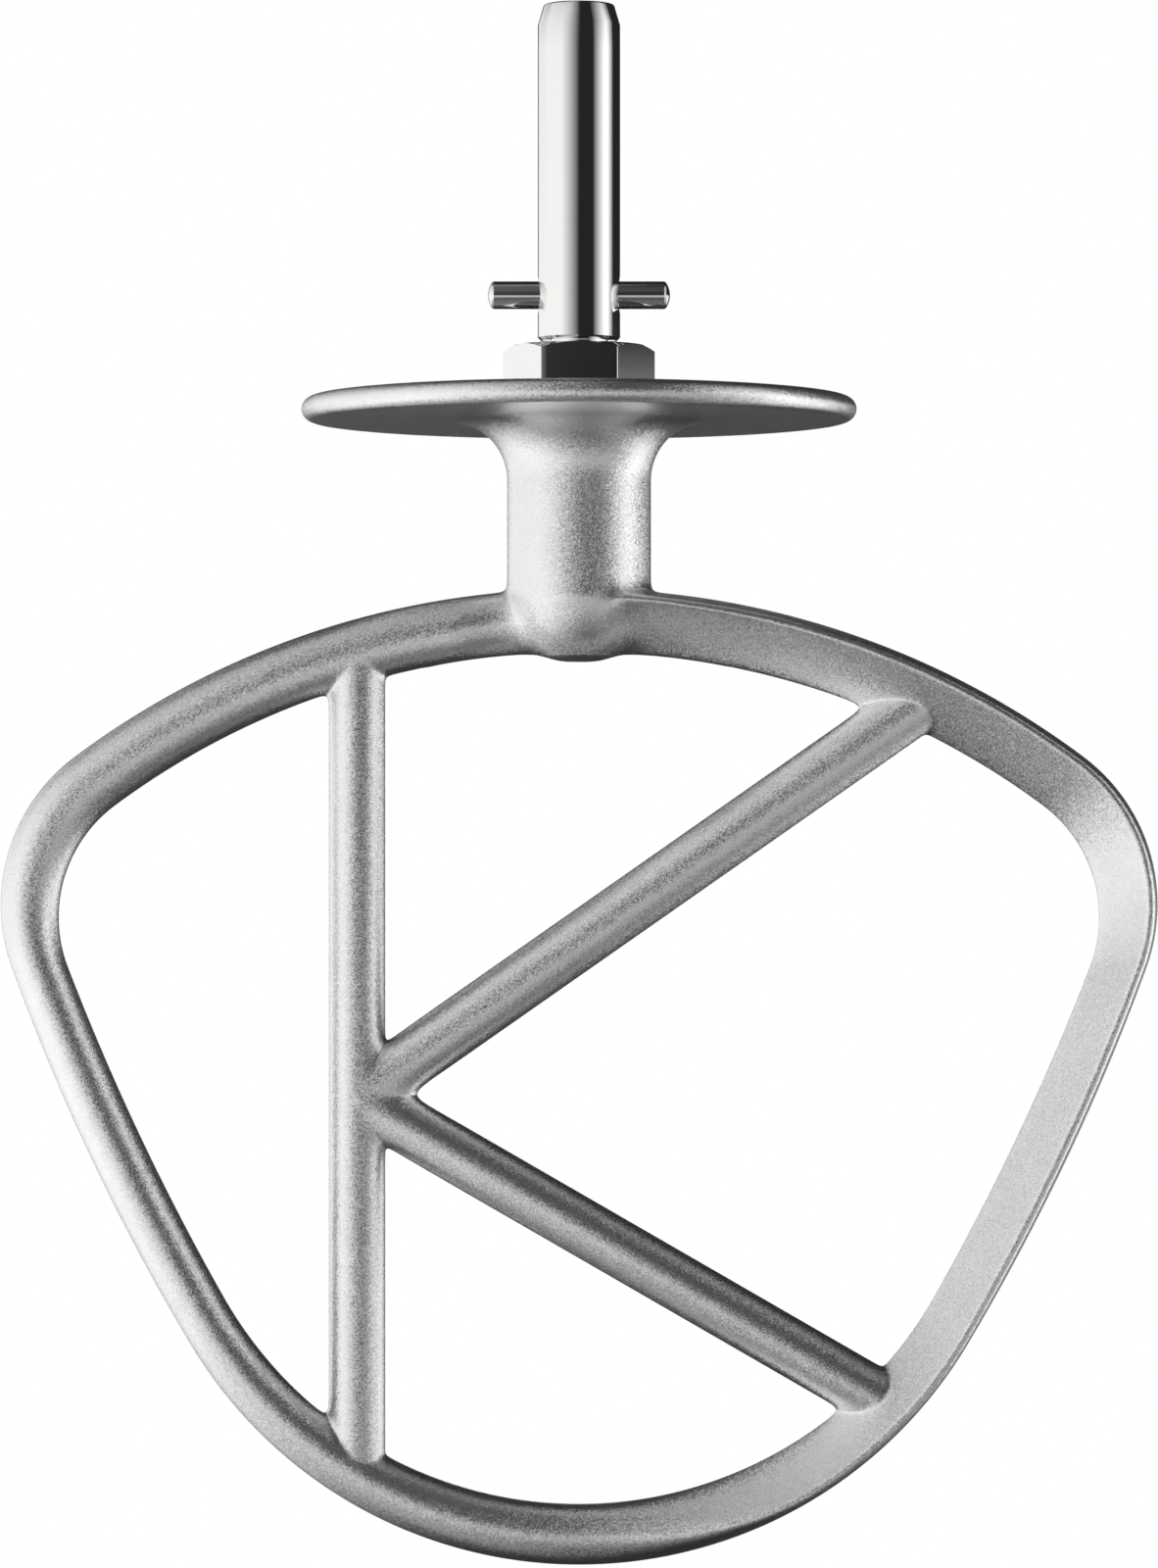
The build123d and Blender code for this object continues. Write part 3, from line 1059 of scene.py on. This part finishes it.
@dataclass
class DriveShaft:
    """The turned shaft with its cross hole, its threaded stud and its cross pin."""

    radius: float = 4.75
    top: float = 33.5
    lead_length: float = 2.4
    lead_depth: float = 0.7
    edge_round: float = 0.35
    shoulder_z: float = -5.3
    shoulder_chamfer: float = 0.4
    stud_radius: float = 4.0
    stud_length: float = 25.0
    stud_chamfer: float = 0.8
    core_radius: float = 3.3
    pitch: float = 1.25
    crest_share: float = 0.14
    thread_start: float = 0.7
    thread_steps: int = 72
    pin_radius: float = 1.6
    pin_length: float = 21.0
    pin_dome: float = 0.55
    pin_edge: float = 0.12
    hole_flare: float = 0.65
    hole_flare_depth: float = 0.22
    segments: int = 160
    crease: float = 24.0

    def shaft_profile(self) -> list[tuple[float, float]]:
        """Profile of the shaft and its stud's core, from the stud's end up to the shaft's end."""
        stud_end = self.shoulder_z - self.stud_length
        lead = math.atan2(self.lead_depth, self.lead_length)
        tip_radius = self.radius - self.lead_depth
        inset = self.edge_round * math.tan((math.pi / 2 - lead) / 2)
        tip_centre = (tip_radius - inset, self.top - self.edge_round)
        return [
            (0.0, stud_end),
            (self.core_radius - self.stud_chamfer, stud_end),
            (self.core_radius, stud_end + self.stud_chamfer),
            (self.core_radius, self.shoulder_z),
            (self.radius - self.shoulder_chamfer, self.shoulder_z),
            (self.radius, self.shoulder_z + self.shoulder_chamfer),
            *line_profile((self.radius, self.shoulder_z), (self.radius, self.top - self.lead_length), 12),
            (self.radius, self.top - self.lead_length),
            *arc_profile(tip_centre, self.edge_round, math.degrees(lead), 90, 8),
            (0.0, self.top),
        ]

    def hole_profile(self) -> list[tuple[float, float]]:
        """Profile of the flared cross hole's cutter."""
        inner = self.radius - self.hole_flare_depth
        outer = self.radius + self.hole_flare_depth
        wide = self.pin_radius + 2 * self.hole_flare
        return [
            (0.0, -outer),
            (wide, -outer),
            (self.pin_radius, -inner),
            (self.pin_radius, inner),
            (wide, outer),
            (0.0, outer),
        ]

    def pin_profile(self) -> list[tuple[float, float]]:
        """Profile of the cross pin with its domed ends."""
        end = self.pin_length / 2
        dome = (self.pin_radius**2 + self.pin_dome**2) / (2 * self.pin_dome)
        spread = math.degrees(math.asin((self.pin_radius - self.pin_edge) / dome))
        right = arc_profile((0.0, end - dome), dome, 90 - spread, 90, 10)
        flank = end - self.pin_dome - self.pin_edge
        half = [(self.pin_radius, flank), *right[:-1], (0.0, end)]
        return [(r, -x) for r, x in reversed(half)] + half

    def build_shaft(self) -> bpy.types.Object:
        """The shaft with its cross hole."""
        turned = turned_shell(self.shaft_profile(), TurnAxis.ALONG_Z, self.segments)
        shaft = turned.to_object("drive_shaft_turned")
        cutter = turned_shell(self.hole_profile(), TurnAxis.ALONG_X, self.segments)
        combine(shaft, cutter.to_object("cross_hole"), Combine.CUT)
        shade_smooth(shaft, self.crease)
        return shaft

    def build_pin(self) -> bpy.types.Object:
        """The cross pin."""
        pin = turned_shell(self.pin_profile(), TurnAxis.ALONG_X, self.segments).to_object("cross_pin")
        shade_smooth(pin, self.crease)
        return pin

    def thread_tree(self) -> bpy.types.NodeTree:
        """Geometry nodes for the stud's thread: a ridge swept along a right-hand helix.

        Returns:
            The node tree, with named inputs for the thread's sizes.
        """
        tree = bpy.data.node_groups.new("stud_thread", "GeometryNodeTree")
        for label in ("Pitch", "Turns", "Core Radius", "Crest Radius", "Foot"):
            tree.interface.new_socket(label, in_out="INPUT", socket_type="NodeSocketFloat")
        tree.interface.new_socket("Finish", in_out="INPUT", socket_type="NodeSocketMaterial")
        tree.interface.new_socket("Geometry", in_out="OUTPUT", socket_type="NodeSocketGeometry")
        web = NodeWeb(tree)
        given = web.add("NodeGroupInput").outputs
        pitch, core = given["Pitch"], given["Core Radius"]
        spiral = {
            "Resolution": self.thread_steps,
            "Rotations": given["Turns"],
            "Start Radius": core,
            "End Radius": core,
            "Height": web.math("MULTIPLY", pitch, given["Turns"]),
        }
        helix = web.add("GeometryNodeCurveSpiral", spiral).outputs["Curve"]
        upright = web.add("GeometryNodeSetCurveNormal", {"Curve": helix}, mode="Z_UP").outputs["Curve"]
        depth = web.math("SUBTRACT", given["Crest Radius"], core)
        section = {
            "Offset": 0.0,
            "Bottom Width": pitch,
            "Top Width": web.math("MULTIPLY", pitch, self.crest_share),
            "Height": web.math("MULTIPLY", depth, 2.0),
        }
        profile = web.add("GeometryNodeCurvePrimitiveQuadrilateral", section, mode="TRAPEZOID")
        sweep = {"Fill Caps": True, "Curve": upright, "Profile Curve": profile.outputs["Curve"]}
        ridge = web.add("GeometryNodeCurveToMesh", sweep).outputs["Mesh"]
        shift = web.add("ShaderNodeCombineXYZ", {"Z": given["Foot"]}).outputs["Vector"]
        place = web.add("GeometryNodeTransform", {"Translation": shift, "Geometry": ridge})
        real = web.add("GeometryNodeRealizeInstances", {"Geometry": place.outputs["Geometry"]})
        wires = {"Geometry": real.outputs["Geometry"], "Material": given["Finish"]}
        paint = web.add("GeometryNodeSetMaterial", wires)
        web.add("NodeGroupOutput", {"Geometry": paint.outputs["Geometry"]})
        return tree

    def build_thread(self, finish: bpy.types.Material) -> bpy.types.Object:
        """The stud's thread as a plain mesh.

        Args:
            finish: Material of the thread.

        Returns:
            The thread's object.
        """
        tree = self.thread_tree()
        turns = math.floor((self.stud_length - self.stud_chamfer) / self.pitch) - 1
        sizes = {
            "Pitch": self.pitch * MM,
            "Turns": float(turns),
            "Core Radius": self.core_radius * MM,
            "Crest Radius": self.stud_radius * MM,
            "Foot": (self.shoulder_z - self.pitch * (turns + self.thread_start)) * MM,
            "Finish": finish,
        }
        thread = link_object("stud_thread", bpy.data.meshes.new("stud_thread"))
        modifier = thread.modifiers.new("thread", "NODES")
        modifier.node_group = tree
        for item in tree.interface.items_tree:
            if item.name in sizes:
                modifier[item.identifier] = sizes[item.name]
        settle_modifiers(thread)
        shade_smooth(thread, self.crease)
        return thread

    def dress(self, finish: bpy.types.Material) -> list[bpy.types.Object]:
        """Builds the shaft, its pin and its thread, and places them on the frame."""
        shaft = self.build_shaft()
        pin = self.build_pin()
        thread = self.build_thread(finish)
        for piece in (shaft, pin, thread):
            coat(piece, finish)
            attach(piece, "shaft")
        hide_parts("drive_shaft")
        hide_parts("drive_pin")
        return [shaft, pin, thread]


@dataclass
class LockNut:
    """The thin hexagon nut, with its corners turned off and its edges eased."""

    across_flats: float = 15.2
    low: float = -11.85
    high: float = -5.85
    corner_drop: float = 0.68
    bore_radius: float = 4.1
    bore_chamfer: float = 0.5
    corner_round: float = 0.22
    corner_steps: int = 4
    flat_steps: int = 14
    merge: float = 1e-6
    crease: float = 18.0

    def outline(self) -> np.ndarray:
        """Hexagon outline with small round corners, as (x, y) points."""
        half = self.across_flats / 2
        inner = (half - self.corner_round) / math.cos(math.pi / 6)
        points: list[np.ndarray] = []
        for corner in range(6):
            heading = corner * math.pi / 3
            centre = inner * np.array([math.cos(heading), math.sin(heading)])
            arc = [
                centre + self.corner_round * np.array([math.cos(a), math.sin(a)])
                for a in np.linspace(heading - math.pi / 6, heading + math.pi / 6, self.corner_steps + 1)
            ]
            if points:
                points += self.between(points[-1], arc[0])
            points += arc
        points += self.between(points[-1], points[0])
        return np.array(points)

    def between(self, start: np.ndarray, end: np.ndarray) -> list[np.ndarray]:
        """Points along a flat, both ends left out."""
        return [start + (end - start) * step / self.flat_steps for step in range(1, self.flat_steps)]

    def build(self) -> bpy.types.Object:
        """The nut as one closed ring of sections."""
        outline = self.outline()
        radii = np.linalg.norm(outline, axis=1)
        headings = outline / radii[:, None]
        half = self.across_flats / 2
        corner = half / math.cos(math.pi / 6)
        drops = np.maximum(radii - half, 0.0) / (corner - half) * self.corner_drop
        bore, mouth = self.bore_radius, self.bore_radius + self.bore_chamfer
        level = np.ones(len(outline))
        rows = [
            (bore * level, (self.low + self.bore_chamfer) * level),
            (mouth * level, self.low * level),
            (np.minimum(radii, half), self.low * level),
            (radii, self.low + drops),
            (radii, self.high - drops),
            (np.minimum(radii, half), self.high * level),
            (mouth * level, self.high * level),
            (bore * level, (self.high - self.bore_chamfer) * level),
        ]
        sections = np.stack(
            [np.column_stack([headings * radius[:, None], height]) for radius, height in rows], axis=1
        )
        nut = ring_shell(sections).to_object("lock_nut_turned")
        with editing(nut.data) as work:
            bmesh.ops.remove_doubles(work, verts=work.verts, dist=self.merge)
            bmesh.ops.dissolve_degenerate(work, edges=work.edges, dist=self.merge)
        shade_smooth(nut, self.crease)
        return nut

    def dress(self, piece: bpy.types.Object, finish: bpy.types.Material) -> None:
        """Gives the nut its finish and its place on the frame."""
        coat(piece, finish)
        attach(piece, "nut")
        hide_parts("lock_nut")


@dataclass(frozen=True)
class LightPanel:
    """A soft panel of light far from the beater, in degrees round it and above it.

    Heading 0 is towards the camera and 90 to its right. The light fades over a feather past each edge.
    """

    heading: tuple[float, float]
    heading_feather: tuple[float, float]
    height: tuple[float, float]
    height_feather: tuple[float, float]
    level: float


@dataclass
class Studio:
    """Camera, white surroundings, pale floor and a light tent that the metal mirrors."""

    camera_distance: float = 0.772
    camera_z: float = -0.06765
    view_height: float = 0.1808
    view_middle_z: float = -0.05635
    sensor: float = 36.0
    floor_drop: float = 0.20
    floor_radius: float = 1.8
    floor_tint: tuple[float, float, float] = (0.86, 0.86, 0.86)
    floor_roughness: float = 0.9
    floor_segments: int = 96
    floor_light: float = 0.9
    tent_radius: float = 1.6
    tent_drop: float = 0.1
    tent_step: int = 6
    gap_heading: float = 5.0
    gap_height: float = 12.0
    fill_level: float = 0.02
    left_window: LightPanel = LightPanel((-150, -50), (10, 50), (-5, 5), (55, 50), 1.05)
    right_strip: LightPanel = LightPanel((80, 85), (40, 25), (0, 10), (20, 55), 1.35)
    left_ceiling: LightPanel = LightPanel((-100, -30), (20, 35), (40, 90), (35, 55), 0.45)
    left_table: LightPanel = LightPanel((-115, -80), (30, 35), (-50, -25), (25, 15), 0.6)
    near_left_table: LightPanel = LightPanel((-50, -20), (35, 30), (-70, -20), (40, 25), 0.3)
    front_table: LightPanel = LightPanel((-20, 20), (20, 20), (-30, -6), (15, 6), 0.3)
    right_table: LightPanel = LightPanel((40, 115), (55, 15), (-30, -15), (40, 20), 0.4)
    far_right_table: LightPanel = LightPanel((95, 135), (15, 15), (-30, 3), (15, 3.5), 0.9)

    @property
    def panels(self) -> tuple[LightPanel, ...]:
        """The panels of the tent: over the table's edge, overhead, and the pale table itself."""
        return (
            self.left_window,
            self.right_strip,
            self.left_ceiling,
            self.left_table,
            self.near_left_table,
            self.front_table,
            self.right_table,
            self.far_right_table,
        )

    def camera(self) -> None:
        """Camera that looks level along +Y, raised in the frame by its shift."""
        data = bpy.data.cameras.new("camera")
        data.sensor_width = self.sensor
        data.lens = self.sensor * self.camera_distance / self.view_height
        data.shift_y = (self.view_middle_z - self.camera_z) / self.view_height
        made = bpy.data.objects.new("camera", data)
        made.location = (0.0, -self.camera_distance, self.camera_z)
        made.rotation_euler = (math.pi / 2, 0.0, 0.0)
        bpy.context.scene.collection.objects.link(made)
        bpy.context.scene.camera = made

    def floor(self, lowest: float) -> bpy.types.Object:
        """Round pale floor under the beater.

        Args:
            lowest: The beater's lowest point, in metres.

        Returns:
            The floor's object.
        """
        mesh = bpy.data.meshes.new("floor")
        with editing(mesh) as work:
            bmesh.ops.create_circle(
                work, cap_ends=True, segments=self.floor_segments, radius=self.floor_radius
            )
            bmesh.ops.translate(work, verts=work.verts, vec=(0.0, 0.0, lowest - self.floor_drop))
        made = link_object("floor", mesh)
        mesh.materials.append(self.floor_material())
        made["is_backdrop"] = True
        return made

    def floor_material(self) -> bpy.types.Material:
        """Plain pale floor."""
        made = bpy.data.materials.new("pale_floor")
        made.use_nodes = True
        shader = made.node_tree.nodes["Principled BSDF"]
        shader.inputs["Base Color"].default_value = (*self.floor_tint, 1.0)
        shader.inputs["Roughness"].default_value = self.floor_roughness
        shader.inputs["Specular IOR Level"].default_value = 0.0
        return made

    def world(self) -> None:
        """White surroundings for the eye, for metal and for glass, and soft light for the floor."""
        made = bpy.data.worlds.new("surroundings")
        made.use_nodes = True
        bpy.context.scene.world = made
        web = NodeWeb(made.node_tree)
        path = web.add("ShaderNodeLightPath").outputs
        seen = web.math("ADD", path["Is Camera Ray"], path["Is Glossy Ray"])
        seen = web.math("MAXIMUM", seen, path["Is Transmission Ray"])
        pick = web.add("ShaderNodeMix", {"A": self.floor_light, "B": 1.0, "Factor": seen})
        background = made.node_tree.nodes["Background"]
        web.feed(background.inputs["Color"], (1.0, 1.0, 1.0, 1.0))
        web.feed(background.inputs["Strength"], pick.outputs["Result"])

    def tent(self, lowest: float) -> bpy.types.Object:
        """Light tent round the beater, seen only in reflections and open behind to the white.

        Args:
            lowest: The beater's lowest point, in metres.

        Returns:
            The tent's object.
        """
        headings = np.arange(-180, 180, self.tent_step)
        heights = np.linspace(-89, 89, 180 // self.tent_step + 1)
        under = self.view_middle_z - lowest + self.tent_drop
        points = []
        for height in np.radians(heights):
            down = max(-math.sin(height), 1e-6)
            reach = min(self.tent_radius, under / down)
            for heading in np.radians(headings):
                flat = reach * math.cos(height)
                rise = self.view_middle_z + reach * math.sin(height)
                points.append((flat * math.sin(heading), -flat * math.cos(heading), rise))
        faces: list[Face] = []
        around = len(headings)
        for row, height in enumerate(heights[:-1]):
            for col, heading in enumerate(headings):
                behind = 180 - abs(heading + self.tent_step / 2) < self.gap_heading
                if behind and 0 < height + self.tent_step / 2 < self.gap_height:
                    continue
                after = (col + 1) % around
                low, high = row * around, (row + 1) * around
                faces.append((low + col, low + after, high + after, high + col))
        mesh = bpy.data.meshes.new("light_tent")
        mesh.from_pydata(points, [], faces)
        mesh.materials.append(self.tent_material())
        made = link_object("light_tent", mesh)
        made.visible_camera = False
        made.visible_diffuse = False
        made.visible_shadow = False
        made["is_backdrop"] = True
        return made

    def tent_material(self) -> bpy.types.Material:
        """Dark cloth with the soft panels glowing on it."""
        made = bpy.data.materials.new("light_tent")
        made.use_nodes = True
        made.cycles.emission_sampling = "NONE"
        nodes = made.node_tree.nodes
        nodes.remove(nodes["Principled BSDF"])
        web = NodeWeb(made.node_tree)
        place = web.add("ShaderNodeTexCoord").outputs["Object"]
        direction = web.vector("NORMALIZE", web.vector("SUBTRACT", place, (0.0, 0.0, self.view_middle_z)))
        parts = web.add("ShaderNodeSeparateXYZ", {"Vector": direction}).outputs
        heading = web.math("ARCTAN2", parts["X"], web.math("MULTIPLY", parts["Y"], -1.0))
        heading = web.math("MULTIPLY", heading, math.degrees(1))
        height = web.math("MULTIPLY", web.math("ARCSINE", parts["Z"]), math.degrees(1))
        total = self.fill_level
        for panel in self.panels:
            total = web.math("ADD", self.panel_glow(web, panel, heading, height), total)
        glow = web.add("ShaderNodeEmission", {"Strength": total})
        web.feed(nodes["Material Output"].inputs["Surface"], glow.outputs["Emission"])
        return made

    @staticmethod
    def panel_glow(
        web: NodeWeb, panel: LightPanel, heading: bpy.types.NodeSocket, height: bpy.types.NodeSocket
    ) -> bpy.types.NodeSocket:
        """Strength of one panel in a direction.

        Args:
            web: Nodes of the tent.
            panel: The panel.
            heading: Degrees round the beater.
            height: Degrees above level.

        Returns:
            The strength's socket.
        """
        spans = (
            (heading, panel.heading, panel.heading_feather),
            (height, panel.height, panel.height_feather),
        )
        glow = panel.level
        for value, (start, end), (before, after) in spans:
            for dark, full in ((start - before, start), (end + after, end)):
                wires = {"From Min": dark, "From Max": full, "Value": value}
                fade = web.add("ShaderNodeMapRange", wires, clamp=True)
                glow = web.math("MULTIPLY", fade.outputs["Result"], glow)
        return glow


def triangles(piece: bpy.types.Object) -> int:
    """Number of triangles in a piece."""
    return sum(len(face.vertices) - 2 for face in piece.data.polygons)


def main() -> None:
    """Builds every piece round the frame, then the studio."""
    logging.basicConfig(level=logging.INFO, format="%(name)s: %(message)s")
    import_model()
    cad_low, cad_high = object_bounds()
    bpy.context.scene.view_settings.view_transform = "Standard"

    grain = SurfaceGrain().group()
    cast_finish = BlastedCasting().material(grain)
    bright_finish = PolishedSteel().material(grain)

    casting = BeaterCasting()
    body = casting.build()
    casting.dress(body, cast_finish)
    pieces = [body, *DriveShaft().dress(bright_finish)]
    nut = LockNut()
    nut_piece = nut.build()
    nut.dress(nut_piece, bright_finish)
    pieces.append(nut_piece)
    for piece in pieces:
        log.info("%s: %d triangles", piece.name, triangles(piece))

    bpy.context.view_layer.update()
    studio = Studio()
    studio.camera()
    studio.world()
    studio.floor(cad_low.z)
    studio.tent(cad_low.z)


if __name__ == "__main__":
    main()
